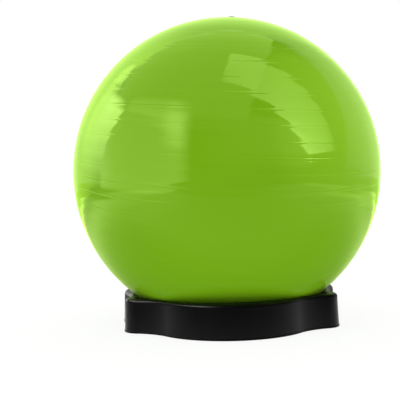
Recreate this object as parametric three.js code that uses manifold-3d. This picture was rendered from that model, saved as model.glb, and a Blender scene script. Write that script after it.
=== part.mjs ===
/**
 * Balance ball chair: an inflated exercise ball that stands on the floor inside a three-eared
 * plastic ring, which keeps it from rolling away.
 *
 * Millimetres, +Z up. The origin is the middle of the ring on the floor, and -Y is the front.
 */
import * as THREE from 'three';
import { mergeVertices } from 'three/addons/utils/BufferGeometryUtils.js';
import Module from 'manifold-3d';

const wasm = await Module();
wasm.setup();

// Ball: the skin, how far it flattens on the floor, and how its polar axis leans
const BALL_DIAMETER = 650;
const BALL_WALL = 1.2;
const FLOOR_SQUASH = 5;
const LEAN_FORWARD_DEG = 8;
const LEAN_RIGHT_DEG = 3.5;

// Rings moulded round the ball
const RIDGE_PITCH = 28.1;
const RIDGE_WIDTH = 4.5;
const RIDGE_HEIGHT = 0.6;

// Air valve at the ball's pole: a thick boss inside, a hole, and a plug with a domed head
const VALVE_BORE_DIAMETER = 8;
const VALVE_BOSS_DIAMETER = 26;
const VALVE_BOSS_DEPTH = 9;
const VALVE_CHAMFER = 0.8;
const PLUG_GAP = 0.3;
const PLUG_STEM_LENGTH = 17;
const PLUG_TAPER = 0.9;
const PLUG_HEAD_DIAMETER = 15;
const PLUG_HEAD_RIM = 1;
const PLUG_HEAD_DOME = 1.8;

// Ring: heights above the floor, walls and roundings
const RING_HEIGHT = 67;
const RING_LIFT = 1;
const RING_WALL = 3.2;
const WALL_DRAFT = 2;
const EDGE_ROUND = 6.5;
const RIM_ROUND = 5;
const LIP_ROUND = 4;
const INNER_CORNER = 0.8;
const BEAD_HEIGHT = 4;
const BEAD_PROUD = 1;

// Ring: seat for the ball, and the skirt that carries the seat's inner edge
const SEAT_CLEARANCE = 0.5;
const SEAT_WIDTH = 51;
const SKIRT_LIFT = 3;

// Ring: plan shape, given by the width of the flat deck at three places and two radii
const EAR_DECK = 27.5;
const BULGE_DECK = 25;
const NOTCH_DECK = 0.9;
const EAR_RADIUS = 36;
const NOTCH_RADIUS = 115;

// Ring: holes in the ears, tubes under the deck, and ribs between the walls
const EAR_HOLE_DIAMETER = 16.5;
const TUBE_WALL = 3;
const RIB_WALL = 2.5;
const RIB_LIFT = 7;

// Feet: rubber buttons pushed up into the tubes
const FOOT_FLANGE = 4;
const FOOT_STUB = 9;
const FOOT_EASE = 1.2;
const FOOT_GAP = 0.3;

// How far a cutting or joining shape runs past what it meets
const OVERRUN = 1;
const WELD_TOLERANCE = 1e-4;

// Counts
const EAR_COUNT = 3;
const RIBS_PER_SIXTH = 4;
const BALL_MERIDIANS = 40;
const SMALL_ROUND_STEPS = 20;
const EAR_STEPS = 6;
const NOTCH_STEPS = 4;
const BULGE_STEPS = 6;
const EDGE_STEPS = 3;
const SEAT_STEPS = 4;
const SEAT_UNDERSIDE_STEPS = 2;
const DOME_STEPS = 3;
const CAP_STEPS = 3;

// Sizes that follow
const ballRadius = BALL_DIAMETER / 2;
const ballCentreHeight = ballRadius - FLOOR_SQUASH;
const valveBoreRadius = VALVE_BORE_DIAMETER / 2;
const seatRadius = ballRadius + RIDGE_HEIGHT + SEAT_CLEARANCE;
const tubeBoreRadius = EAR_HOLE_DIAMETER / 2;
const tubeRadius = tubeBoreRadius + TUBE_WALL;
const sixth = Math.PI / EAR_COUNT;

/** A length on the far side of a right angle: the square root of a difference of squares. */
const leg = (hypotenuse, other) => Math.sqrt(hypotenuse ** 2 - other ** 2);

/** Points of an arc round (x, y), from one angle to another, both ends included. */
function arcPoints(x, y, radius, from, to, steps) {
  return Array.from({ length: steps + 1 }, (_, i) => {
    const angle = from + (to - from) * (i / steps);
    return [x + radius * Math.cos(angle), y + radius * Math.sin(angle)];
  });
}

/** Keeps positions alone, joins shared corners, and leaves out faces that have no area. */
function weld(geometry) {
  const bare = new THREE.BufferGeometry();
  bare.setAttribute('position', geometry.getAttribute('position'));
  bare.setIndex(geometry.getIndex());
  const joined = mergeVertices(bare, WELD_TOLERANCE);
  const corners = joined.getIndex().array;
  const faces = [];
  for (let i = 0; i < corners.length; i += 3) {
    const [a, b, c] = corners.slice(i, i + 3);
    if (a !== b && b !== c && c !== a) faces.push(a, b, c);
  }
  joined.setIndex(faces);
  return joined;
}

/** A closed mesh as a solid that can be joined and cut. */
function solidOf(geometry) {
  return new wasm.Manifold(new wasm.Mesh({
    numProp: 3,
    vertProperties: Float32Array.from(geometry.getAttribute('position').array),
    triVerts: Uint32Array.from(geometry.getIndex().array),
  }));
}

/** A solid back as a mesh. */
function geometryOf(solid) {
  const mesh = solid.getMesh();
  const geometry = new THREE.BufferGeometry();
  geometry.setAttribute('position', new THREE.BufferAttribute(mesh.vertProperties, 3));
  geometry.setIndex(Array.from(mesh.triVerts));
  return geometry;
}

/** A round solid about Z from a profile of [radius, height], drawn upwards on its outside. */
function turned(profile, segments) {
  const points = profile.map(([radius, height]) => new THREE.Vector2(radius, height));
  return weld(new THREE.LatheGeometry(points, segments).rotateX(Math.PI / 2));
}

/** A ring-shaped solid skinned over closed sections, each a list of [x, y, z]. */
function skinned(sections) {
  const rows = sections.length;
  const columns = sections[0].length;
  const geometry = new THREE.BufferGeometry();
  geometry.setAttribute('position', new THREE.Float32BufferAttribute(sections.flat(2), 3));
  const faces = [];
  for (let row = 0; row < rows; row += 1) {
    const here = row * columns;
    const next = ((row + 1) % rows) * columns;
    for (let i = 0; i < columns; i += 1) {
      const j = (i + 1) % columns;
      faces.push(here + i, next + i, next + j, here + i, next + j, here + j);
    }
  }
  geometry.setIndex(faces);
  return weld(geometry);
}

// Ball

/** Heights, along the polar axis, of the moulded rings: evenly spaced from the equator. */
function ridgeHeights() {
  const last = Math.floor((ballRadius - VALVE_BOSS_DIAMETER / 2) / RIDGE_PITCH);
  return Array.from({ length: 2 * last + 1 }, (_, i) => (i - last) * RIDGE_PITCH);
}

/** The smooth cap beyond the last ring, from the ring's height towards the pole. */
function capProfile(radius, fromHeight) {
  const from = Math.asin(fromHeight / radius);
  const pole = Math.sign(fromHeight) * (Math.PI / 2);
  return arcPoints(0, 0, radius, from, pole, CAP_STEPS).slice(1, -1);
}

/** The ball's outside from the lower pole to the valve, with each ring as a low ridge. */
function ballOutside() {
  const onSkin = (height) => [leg(ballRadius, height), height];
  const heights = ridgeHeights();
  const profile = [[0, -ballRadius], ...capProfile(ballRadius, heights[0]).reverse()];
  for (const height of heights) {
    const crest = (ballRadius + RIDGE_HEIGHT) / ballRadius;
    const [radius] = onSkin(height);
    profile.push(onSkin(height - RIDGE_WIDTH / 2));
    profile.push([radius * crest, height * crest]);
    profile.push(onSkin(height + RIDGE_WIDTH / 2));
  }
  const mouth = valveBoreRadius + VALVE_CHAMFER;
  profile.push(...capProfile(ballRadius, heights.at(-1)));
  profile.push([mouth, leg(ballRadius, mouth)]);
  profile.push([valveBoreRadius, leg(ballRadius, mouth) - VALVE_CHAMFER]);
  return profile;
}

/** The ball's inside from the valve boss to the lower pole. */
function ballInside() {
  const radius = ballRadius - BALL_WALL;
  const bossRadius = VALVE_BOSS_DIAMETER / 2;
  const bossBottom = ballRadius - VALVE_BOSS_DEPTH;
  const profile = [[valveBoreRadius, bossBottom], [bossRadius, bossBottom]];
  profile.push([bossRadius, leg(radius, bossRadius)]);
  const heights = ridgeHeights().reverse();
  profile.push(...capProfile(radius, heights[0]).reverse());
  for (const height of heights) profile.push([leg(radius, height), height]);
  profile.push(...capProfile(radius, heights.at(-1)), [0, -radius]);
  return profile;
}

/** Lifts whatever lies below the floor up to it, and keeps the skin's thickness there. */
function flattenOnFloor(geometry, up) {
  const position = geometry.getAttribute('position');
  const point = new THREE.Vector3();
  for (let i = 0; i < position.count; i += 1) {
    point.fromBufferAttribute(position, i);
    const inside = point.length() < ballRadius - BALL_WALL / 2;
    const lowest = (inside ? BALL_WALL : 0) - ballCentreHeight;
    point.addScaledVector(up, Math.max(0, lowest - point.dot(up)));
    position.setXYZ(i, point.x, point.y, point.z);
  }
  return geometry;
}

/** The plug: a stem that narrows downwards, and a domed head that sits on the skin. */
function plugProfile() {
  const stem = valveBoreRadius - PLUG_GAP;
  const head = PLUG_HEAD_DIAMETER / 2;
  const seat = ballRadius + PLUG_GAP;
  const crown = seat + PLUG_HEAD_RIM;
  const dome = Array.from({ length: DOME_STEPS }, (_, i) => {
    const turn = (Math.PI / 2) * (i / DOME_STEPS);
    return [head * Math.cos(turn), crown + PLUG_HEAD_DOME * Math.sin(turn)];
  });
  return [
    [0, seat - PLUG_STEM_LENGTH],
    [stem - PLUG_TAPER - PLUG_GAP, seat - PLUG_STEM_LENGTH],
    [stem - PLUG_TAPER, seat - PLUG_STEM_LENGTH + PLUG_HEAD_RIM],
    [stem, seat],
    [head, seat],
    ...dome,
    [0, crown + PLUG_HEAD_DOME],
  ];
}

// Ring: its section, drawn for a skin that lies a given depth inside the moulding's face

/** Where the deck's edge turns down into the seat: the centre of that rounding. */
function rimRounding(depth) {
  const radius = Math.max(RIM_ROUND - depth, INNER_CORNER);
  const height = RING_HEIGHT - depth - radius;
  return { radius, height, out: leg(seatRadius + depth + radius, ballCentreHeight - height) };
}

const rim = rimRounding(0);
const skirtRadius = rim.out - SEAT_WIDTH;

/** Where the seat turns down into the inner skirt: the centre of that rounding. */
function lipRounding(depth) {
  const radius = Math.max(LIP_ROUND - depth, INNER_CORNER);
  const out = skirtRadius + depth + radius;
  return { radius, out, height: ballCentreHeight - leg(seatRadius + depth + radius, out) };
}

/** Deck, seat and inner skirt as [radius, height], from the deck inwards and down. */
function innerProfile(depth, seatSteps, bottom) {
  const rounding = rimRounding(depth);
  const lip = lipRounding(depth);
  const seat = seatRadius + depth;
  const angleAt = (centre) => Math.atan2(centre.height - ballCentreHeight, centre.out);
  const rimTurn = angleAt(rounding);
  const lipTurn = angleAt(lip);
  return [
    ...arcPoints(rounding.out, rounding.height, rounding.radius,
      Math.PI / 2, rimTurn + Math.PI, EDGE_STEPS - 1),
    ...arcPoints(0, ballCentreHeight, seat, rimTurn, lipTurn, seatSteps).slice(1, -1),
    ...arcPoints(lip.out, lip.height, lip.radius, lipTurn + Math.PI, Math.PI, 1),
    [skirtRadius + depth, bottom],
  ];
}

/** Outer wall as [inset from the plan outline, height], from the bottom up to the deck. */
function outerProfile(depth, bottom, edgeSteps) {
  const radius = Math.max(EDGE_ROUND - depth, INNER_CORNER);
  const centreInset = WALL_DRAFT + depth + radius;
  const edge = arcPoints(0, RING_HEIGHT - depth - radius, radius, 0, Math.PI / 2, edgeSteps);
  return [[depth, bottom], ...edge.map(([out, height]) => [centreInset - out, height])];
}

/** The bead that runs round the foot of the outer wall. */
const beadProfile = [
  [-BEAD_PROUD, RING_LIFT],
  [-BEAD_PROUD, RING_LIFT + BEAD_HEIGHT - BEAD_PROUD],
  [0, RING_LIFT + BEAD_HEIGHT],
];

// Ring: its plan outline

const reachOf = (deck) => rim.out + deck + EDGE_ROUND + WALL_DRAFT;

/** The centre and radius of each arc of the outline, with the first ear pointing along +X. */
function outlineArcs() {
  const ear = { radius: EAR_RADIUS, x: reachOf(EAR_DECK) - EAR_RADIUS, y: 0 };
  const notch = { radius: NOTCH_RADIUS };
  const fromMiddle = reachOf(NOTCH_DECK) + notch.radius;
  const fromEar = ear.radius + notch.radius;
  notch.x = (fromMiddle ** 2 - fromEar ** 2 + ear.x ** 2) / (2 * ear.x);
  notch.y = leg(fromMiddle, notch.x);
  const reach = reachOf(BULGE_DECK);
  const tip = new THREE.Vector2(reach * Math.cos(sixth), reach * Math.sin(sixth));
  const along = notch.x * Math.cos(sixth) + notch.y * Math.sin(sixth);
  const gap = tip.distanceToSquared(new THREE.Vector2(notch.x, notch.y));
  const bulge = { radius: (gap - notch.radius ** 2) / (2 * (notch.radius + reach - along)) };
  bulge.x = (reach - bulge.radius) * Math.cos(sixth);
  bulge.y = (reach - bulge.radius) * Math.sin(sixth);
  return { ear, notch, bulge };
}

/** Stations round the outline, each with its place and the direction that faces outwards. */
function outlineStations() {
  const { ear, notch, bulge } = outlineArcs();
  const earTurn = Math.atan2(notch.y - ear.y, notch.x - ear.x);
  const bulgeTurn = Math.atan2(notch.y - bulge.y, notch.x - bulge.x);
  const half = [];
  const follow = (arc, from, to, steps, side) => {
    for (let i = 0; i < steps; i += 1) {
      const turn = from + (to - from) * (i / steps);
      const [cos, sin] = [Math.cos(turn), Math.sin(turn)];
      const place = [arc.x + arc.radius * cos, arc.y + arc.radius * sin];
      half.push({ place, outward: [side * cos, side * sin] });
    }
  };
  follow(ear, 0, earTurn, EAR_STEPS, 1);
  follow(notch, earTurn + Math.PI, bulgeTurn + Math.PI, NOTCH_STEPS, -1);
  follow(bulge, bulgeTurn, sixth, BULGE_STEPS, 1);
  const flip = ([x, y]) => [x, -y];
  const mirrored = half.slice(1).reverse().map((s) => (
    { place: flip(s.place), outward: flip(s.outward) }));
  const tip = { place: [bulge.x + bulge.radius * Math.cos(sixth),
    bulge.y + bulge.radius * Math.sin(sixth)], outward: [Math.cos(sixth), Math.sin(sixth)] };
  const lobe = [...mirrored, ...half, tip];
  return Array.from({ length: EAR_COUNT }, (_, i) => {
    const turn = Math.PI / 2 + i * 2 * sixth;
    const spin = ([x, y]) => [x * Math.cos(turn) - y * Math.sin(turn),
      x * Math.sin(turn) + y * Math.cos(turn)];
    return lobe.map((s) => ({ place: spin(s.place), outward: spin(s.outward) }));
  }).flat();
}

const stations = outlineStations();

/** One section of the ring: outer points follow the outline, inner ones lie on circles. */
function sectionAt({ place: [x, y], outward: [nx, ny] }, outer, inner) {
  const reach = Math.hypot(x, y);
  return [
    ...outer.map(([inset, height]) => [x - nx * inset, y - ny * inset, height]),
    ...inner.map(([radius, height]) => [(x / reach) * radius, (y / reach) * radius, height]),
  ];
}

/** The moulding's thin shell: its outside face, and back along its underside. */
function ringShell() {
  const topOuter = [...beadProfile, ...outerProfile(0, RING_LIFT, EDGE_STEPS).slice(1)];
  const topInner = innerProfile(0, SEAT_STEPS, SKIRT_LIFT);
  const underOuter = outerProfile(RING_WALL, RING_LIFT, 1).reverse();
  const underInner = innerProfile(RING_WALL, SEAT_UNDERSIDE_STEPS, SKIRT_LIFT).reverse();
  return skinned(stations.map((station) => [
    ...sectionAt(station, topOuter, topInner),
    ...sectionAt(station, [], underInner),
    ...sectionAt(station, underOuter, []),
  ]));
}

/** The space under the deck, up to the middle of the shell's thickness. */
function ringHollow() {
  const depth = RING_WALL / 2;
  const outer = outerProfile(depth, RIB_LIFT, 1);
  const inner = innerProfile(depth, SEAT_UNDERSIDE_STEPS, RIB_LIFT);
  return skinned(stations.map((station) => sectionAt(station, outer, inner)));
}

/** How far out the tubes stand: their bores begin where the flat deck begins. */
const tubeReach = rim.out + tubeBoreRadius;
const ribReach = reachOf(Math.max(EAR_DECK, BULGE_DECK));

/** An upright cylinder on the circle of the tubes, at a turn round the middle of the ring. */
function post(radius, turn, bottom, top) {
  const cylinder = new THREE.CylinderGeometry(radius, radius, top - bottom, SMALL_ROUND_STEPS);
  cylinder.rotateX(Math.PI / 2);
  cylinder.translate(tubeReach, 0, (top + bottom) / 2).rotateZ(turn);
  return solidOf(weld(cylinder));
}

/** An upright plate that runs outwards from the inner skirt. */
function rib(turn) {
  const length = ribReach - skirtRadius;
  const plate = new THREE.BoxGeometry(length, RIB_WALL, RING_HEIGHT);
  plate.translate(skirtRadius + length / 2, 0, RING_HEIGHT / 2).rotateZ(turn);
  return solidOf(weld(plate));
}

/** Where the six tubes stand: under each ear and under each bulge, in turn. */
const tubePlaces = Array.from({ length: 2 * EAR_COUNT }, (_, i) => {
  return { underEar: i % 2 === 0, turn: Math.PI / 2 + i * sixth };
});

/** The whole moulding: shell, ribs and tubes, with the ear holes through the deck. */
function ringGeometry() {
  const hollow = solidOf(ringHollow());
  const footTop = FOOT_FLANGE + FOOT_GAP;
  let ring = solidOf(ringShell());
  for (let i = 0; i < 2 * EAR_COUNT * RIBS_PER_SIXTH; i += 1) {
    const turn = Math.PI / 2 + (i + 1 / 2) * (sixth / RIBS_PER_SIXTH);
    ring = ring.add(rib(turn).intersect(hollow));
  }
  for (const { turn } of tubePlaces) {
    ring = ring.add(post(tubeRadius, turn, footTop, RING_HEIGHT - RING_WALL / 2));
  }
  for (const { underEar, turn } of tubePlaces) {
    const top = underEar ? RING_HEIGHT + OVERRUN : RING_HEIGHT - RING_WALL;
    ring = ring.subtract(post(tubeBoreRadius, turn, footTop - OVERRUN, top));
  }
  return geometryOf(ring);
}

// Feet

/** A rubber button: a flange that stands on the floor and a stub that plugs the tube. */
function footProfile() {
  const stub = tubeBoreRadius - FOOT_GAP;
  return [
    [0, 0],
    [tubeRadius - FOOT_EASE, 0],
    [tubeRadius, FOOT_EASE],
    [tubeRadius, FOOT_FLANGE],
    [stub, FOOT_FLANGE],
    [stub, FOOT_FLANGE + FOOT_STUB - FOOT_EASE],
    [stub - FOOT_EASE, FOOT_FLANGE + FOOT_STUB],
    [0, FOOT_FLANGE + FOOT_STUB],
  ];
}

// Materials

const ballVinyl = new THREE.MeshStandardMaterial({
  color: 0x7db321, roughness: 0.18, metalness: 0 });
const plugVinyl = new THREE.MeshStandardMaterial({
  color: 0x4f5c34, roughness: 0.4, metalness: 0 });
const ringPlastic = new THREE.MeshStandardMaterial({
  color: 0x17171a, roughness: 0.42, metalness: 0 });
const footRubber = new THREE.MeshStandardMaterial({
  color: 0x0e0e0f, roughness: 0.85, metalness: 0 });

/** A named piece with flat-shaded faces. */
function piece(name, geometry, material) {
  const faceted = geometry.toNonIndexed();
  faceted.computeVertexNormals();
  const mesh = new THREE.Mesh(faceted, material);
  mesh.name = name;
  return mesh;
}

// Assembly

/** The ball and its plug, about the ball's centre, leaning as the ball happens to lie. */
function ballGroup() {
  const right = Math.sin(THREE.MathUtils.degToRad(LEAN_RIGHT_DEG));
  const forward = Math.sin(THREE.MathUtils.degToRad(LEAN_FORWARD_DEG));
  const axis = new THREE.Vector3(right, -forward, Math.sqrt(1 - right ** 2 - forward ** 2));
  const group = new THREE.Group();
  group.position.z = ballCentreHeight;
  group.quaternion.setFromUnitVectors(new THREE.Vector3(0, 0, 1), axis);
  const up = new THREE.Vector3(0, 0, 1).applyQuaternion(group.quaternion.clone().invert());
  const skin = turned([...ballOutside(), ...ballInside()], BALL_MERIDIANS);
  group.add(piece('ball_shell', flattenOnFloor(skin, up), ballVinyl));
  group.add(piece('valve_plug', turned(plugProfile(), SMALL_ROUND_STEPS), plugVinyl));
  return group;
}

/** The ring and its feet. */
function ringGroup() {
  const footNames = ['foot_ear_back', 'foot_bulge_left', 'foot_ear_left',
    'foot_bulge_front', 'foot_ear_right', 'foot_bulge_right'];
  const group = new THREE.Group();
  group.add(piece('base_ring', ringGeometry(), ringPlastic));
  const foot = turned(footProfile(), SMALL_ROUND_STEPS);
  tubePlaces.forEach(({ turn }, i) => {
    const mesh = piece(footNames[i], foot, footRubber);
    mesh.position.set(tubeReach * Math.cos(turn), tubeReach * Math.sin(turn), 0);
    mesh.rotation.z = turn;
    group.add(mesh);
  });
  return group;
}

const chair = new THREE.Group();
chair.add(ballGroup(), ringGroup());

export default chair;
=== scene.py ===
"""Balance ball chair: a green vinyl exercise ball that stands in a black moulded ring.

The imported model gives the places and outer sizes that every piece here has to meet. Lengths are in
millimetres until a mesh is made, +Z is up, and -Y is the front.
"""

import logging
import math
from dataclasses import dataclass, field
from enum import Enum

import bmesh
import bpy
from mathutils import Matrix, Vector


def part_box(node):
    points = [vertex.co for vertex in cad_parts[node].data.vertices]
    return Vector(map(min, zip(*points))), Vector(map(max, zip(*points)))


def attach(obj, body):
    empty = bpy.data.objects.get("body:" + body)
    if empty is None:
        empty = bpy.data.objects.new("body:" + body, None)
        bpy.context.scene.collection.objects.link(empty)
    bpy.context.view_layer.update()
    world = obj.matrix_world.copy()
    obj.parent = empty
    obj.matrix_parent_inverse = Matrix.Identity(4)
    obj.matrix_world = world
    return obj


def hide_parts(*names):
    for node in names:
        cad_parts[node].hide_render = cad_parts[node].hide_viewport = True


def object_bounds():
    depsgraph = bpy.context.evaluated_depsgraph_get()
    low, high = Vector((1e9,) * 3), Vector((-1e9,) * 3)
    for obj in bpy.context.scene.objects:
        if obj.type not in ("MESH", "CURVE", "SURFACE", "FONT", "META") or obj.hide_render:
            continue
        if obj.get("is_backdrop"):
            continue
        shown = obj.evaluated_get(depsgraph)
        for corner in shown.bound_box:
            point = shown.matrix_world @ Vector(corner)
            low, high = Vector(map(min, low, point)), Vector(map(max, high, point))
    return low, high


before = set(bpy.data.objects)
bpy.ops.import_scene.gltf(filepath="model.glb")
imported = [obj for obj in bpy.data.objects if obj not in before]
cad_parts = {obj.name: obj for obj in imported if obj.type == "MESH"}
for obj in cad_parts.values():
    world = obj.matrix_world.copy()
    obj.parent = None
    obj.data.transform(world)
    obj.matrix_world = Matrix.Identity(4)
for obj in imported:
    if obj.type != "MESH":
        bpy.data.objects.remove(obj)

MM = 0.001

# In millimetres, corners nearer than the first are one, and a face smaller than the second is none
SAME_PLACE = 1e-4
NO_AREA = 1e-6
CRISP_DEG = 35.0
SMALL_ROUND_SEGMENTS = 48

# The Mix node has its colour sockets only by number
MIX_A, MIX_B, MIX_RESULT = 6, 7, 2
# Most of a noise texture lies between these
NOISE_LOW, NOISE_HIGH = 0.3, 0.7

Pair = tuple[float, float]
Profile = list[Pair]
Place = tuple[float, float, float]
Section = list[Place]

log = logging.getLogger("balance_ball_chair")


class Body(Enum):
    """The bodies that pieces ride on."""

    RING = "ring"
    BALL = "ball"
    PLUG = "plug"


class Slot(Enum):
    """The record's material slots."""

    BALL_VINYL = "ball_vinyl"
    PLUG_VINYL = "plug_vinyl"
    RING_PLASTIC = "ring_plastic"
    FOOT_RUBBER = "foot_rubber"


class Join(Enum):
    """How one solid is combined with another."""

    ADD = "UNION"
    CUT = "DIFFERENCE"
    KEEP_COMMON = "INTERSECT"


# Colour and node helpers

def linear(hex_colour: str) -> tuple[float, float, float, float]:
    """Turns an sRGB hex colour into Blender's linear colour.

    Args:
        hex_colour: Six hex digits, with or without a leading hash.

    Returns:
        Red, green, blue and an alpha of 1.
    """
    digits = hex_colour.lstrip("#")
    shares = [int(digits[i:i + 2], 16) / 255 for i in (0, 2, 4)]
    red, green, blue = (s / 12.92 if s <= 0.04045 else ((s + 0.055) / 1.055) ** 2.4 for s in shares)
    return red, green, blue, 1.0


def add_node(tree: bpy.types.NodeTree, kind: str, settings: dict | None = None,
             links: dict | None = None) -> bpy.types.Node:
    """Adds a node, gives it its settings and links its inputs.

    Args:
        tree: The node tree that takes the node.
        kind: Blender's name for the node type.
        settings: Values by socket name, socket number or property name.
        links: Output sockets by the name or number of the input they feed.

    Returns:
        The new node.
    """
    node = tree.nodes.new(kind)
    for key, value in (settings or {}).items():
        if isinstance(key, int) or key in node.inputs:
            node.inputs[key].default_value = value
        else:
            setattr(node, key, value)
    for key, source in (links or {}).items():
        tree.links.new(source, node.inputs[key])
    return node


def empty_material(name: str) -> tuple[bpy.types.Material, bpy.types.NodeTree]:
    """Makes a material without nodes.

    Args:
        name: The material's name.

    Returns:
        The material and its empty node tree.
    """
    material = bpy.data.materials.new(name)
    material.use_nodes = True
    material.node_tree.nodes.clear()
    return material, material.node_tree


# Mesh helpers

def leg(hypotenuse: float, other: float) -> float:
    """The other leg of a right-angled triangle."""
    return math.sqrt(hypotenuse ** 2 - other ** 2)


def arc(centre: Pair, radius: float, start: float, end: float, steps: int) -> Profile:
    """Points along an arc, both ends included.

    Args:
        centre: The arc's centre.
        radius: Its radius.
        start: The angle of the first point.
        end: The angle of the last point.
        steps: How many steps there are between them.

    Returns:
        The points in order.
    """
    turns = [start + (end - start) * i / steps for i in range(steps + 1)]
    return [(centre[0] + radius * math.cos(t), centre[1] + radius * math.sin(t)) for t in turns]


def skinned(sections: list[Section]) -> bmesh.types.BMesh:
    """A closed ring of skin over closed sections.

    Args:
        sections: The sections in order round the ring, each with as many points.

    Returns:
        The skin, with doubled corners joined.
    """
    mesh = bmesh.new()
    rows = [[mesh.verts.new(point) for point in section] for section in sections]
    for row, following in zip(rows, rows[1:] + rows[:1]):
        for i, corner in enumerate(row):
            j = (i + 1) % len(row)
            mesh.faces.new((corner, following[i], following[j], row[j]))
    bmesh.ops.remove_doubles(mesh, verts=mesh.verts, dist=SAME_PLACE)
    return mesh


def turned(profile: Profile, segments: int) -> bmesh.types.BMesh:
    """A round solid about Z.

    Args:
        profile: [radius, height] points, up the outside and back down any inside.
        segments: How many steps there are round it.

    Returns:
        The closed skin, with faces that have no area left out.
    """
    turns = [2 * math.pi * i / segments for i in range(segments)]
    mesh = skinned([[(r * math.cos(t), r * math.sin(t), h) for r, h in profile] for t in turns])
    flat = [f for f in mesh.faces if f.calc_area() < NO_AREA]
    bmesh.ops.delete(mesh, geom=flat, context="FACES_ONLY")
    return mesh


def finished_object(name: str, mesh: bmesh.types.BMesh, sharp_degrees: float = CRISP_DEG,
                    placing: Matrix | None = None) -> bpy.types.Object:
    """Makes a scene object from a mesh in millimetres.

    Args:
        name: The piece's name.
        mesh: Its mesh in millimetres, which is used up.
        sharp_degrees: Edges that turn by more than this stay crisp.
        placing: Where the mesh's own frame stands, in metres.

    Returns:
        The smooth-shaded object.
    """
    bmesh.ops.scale(mesh, vec=(MM, MM, MM), verts=mesh.verts)
    bmesh.ops.transform(mesh, matrix=placing or Matrix.Identity(4), verts=mesh.verts)
    bmesh.ops.recalc_face_normals(mesh, faces=mesh.faces)
    data = bpy.data.meshes.new(name)
    mesh.to_mesh(data)
    mesh.free()
    data.shade_smooth()
    data.set_sharp_from_angle(angle=math.radians(sharp_degrees))
    piece = bpy.data.objects.new(name, data)
    bpy.context.scene.collection.objects.link(piece)
    return piece


def combine(piece: bpy.types.Object, tool: bpy.types.Object, join: Join) -> None:
    """Joins a piece with a tool, or cuts it, and deletes the tool.

    Args:
        piece: The object that is changed.
        tool: The closed object that it is combined with.
        join: How the two are combined.
    """
    step = piece.modifiers.new(join.name, "BOOLEAN")
    step.operation = join.value
    step.solver = "MANIFOLD"
    step.object = tool
    graph = bpy.context.evaluated_depsgraph_get()
    result = bpy.data.meshes.new_from_object(piece.evaluated_get(graph))
    piece.modifiers.clear()
    piece.data = result
    bpy.data.objects.remove(tool)


def dress(piece: bpy.types.Object, material: bpy.types.Material, body: Body, slot: Slot,
          *nodes: str) -> None:
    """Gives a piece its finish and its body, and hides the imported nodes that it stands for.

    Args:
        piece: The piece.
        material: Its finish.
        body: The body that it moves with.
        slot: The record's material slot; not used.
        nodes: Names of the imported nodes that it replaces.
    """
    piece.data.materials.clear()
    piece.data.materials.append(material)
    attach(piece, body.value)
    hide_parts(*nodes)
    log.info("%s: %d faces, rides on %s", piece.name, len(piece.data.polygons), body.value)


# Finishes

@dataclass(frozen=True)
class BallVinyl:
    """Plasticised PVC, rotation-moulded in a polished mould: a deep even colour under high gloss."""

    colour: str = "#75AB13"
    deep_colour: str = "#71A611"
    # PVC's own index is about 1.5, and this one has the weaker gloss that the ball shows
    ior: float = 1.3
    smooth_roughness: float = 0.05
    handled_roughness: float = 0.09
    edge_glow: float = 0.3
    edge_glow_roughness: float = 0.35
    edge_glow_tint: str = "#C0F040"
    patch_mm: float = 140.0
    patch_detail: float = 3.0
    streak_mm: float = 9.0
    streak_length_mm: float = 260.0
    streak_detail: float = 2.0
    streak_strength: float = 0.2
    streak_depth_mm: float = 0.08
    peel_mm: float = 5.0
    peel_detail: float = 1.0
    peel_strength: float = 0.05
    peel_depth_mm: float = 0.05

    def build(self, placing: Matrix) -> bpy.types.Material:
        """Makes the material.

        Args:
            placing: The ball's own frame, whose Z is the axis that the streaks turn about.

        Returns:
            The vinyl, with soft colour patches, faint turning streaks and a fine orange peel.
        """
        material, tree = empty_material("moulded_vinyl_green")
        place = add_node(tree, "ShaderNodeTexCoord").outputs["Object"]
        patches = add_node(tree, "ShaderNodeTexNoise", {
            "Scale": 1 / (self.patch_mm * MM), "Detail": self.patch_detail}, {"Vector": place})
        colour = add_node(tree, "ShaderNodeMix", {
            "data_type": "RGBA", MIX_A: linear(self.colour), MIX_B: linear(self.deep_colour)},
            {0: patches.outputs[0]})
        # The skin's thickness drifts as the mould turns, which draws faint streaks round the ball
        across, along = self.streak_mm * MM, self.streak_length_mm * MM
        stretched = add_node(tree, "ShaderNodeMapping", {
            "vector_type": "TEXTURE", "Location": placing.translation,
            "Rotation": placing.to_euler(), "Scale": (along, along, across)}, {"Vector": place})
        streaks = add_node(tree, "ShaderNodeTexNoise", {
            "Scale": 1.0, "Detail": self.streak_detail}, {"Vector": stretched.outputs[0]})
        peel = add_node(tree, "ShaderNodeTexNoise", {
            "Scale": 1 / (self.peel_mm * MM), "Detail": self.peel_detail}, {"Vector": place})
        wavy = add_node(tree, "ShaderNodeBump", {
            "Strength": self.streak_strength, "Distance": self.streak_depth_mm * MM},
            {"Height": streaks.outputs[0]})
        skin = add_node(tree, "ShaderNodeBump", {
            "Strength": self.peel_strength, "Distance": self.peel_depth_mm * MM},
            {"Height": peel.outputs[0], "Normal": wavy.outputs[0]})
        roughness = add_node(tree, "ShaderNodeMapRange", {
            "From Min": NOISE_LOW, "From Max": NOISE_HIGH, "To Min": self.smooth_roughness,
            "To Max": self.handled_roughness}, {"Value": patches.outputs[0]})
        # Vinyl lets light a little way in, so it glows faintly where it is seen at a glance
        shader = add_node(tree, "ShaderNodeBsdfPrincipled", {
            "IOR": self.ior, "Sheen Weight": self.edge_glow,
            "Sheen Roughness": self.edge_glow_roughness,
            "Sheen Tint": linear(self.edge_glow_tint)}, {
            "Base Color": colour.outputs[MIX_RESULT], "Roughness": roughness.outputs[0],
            "Normal": skin.outputs[0]})
        add_node(tree, "ShaderNodeOutputMaterial", {}, {"Surface": shader.outputs[0]})
        return material


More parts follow.
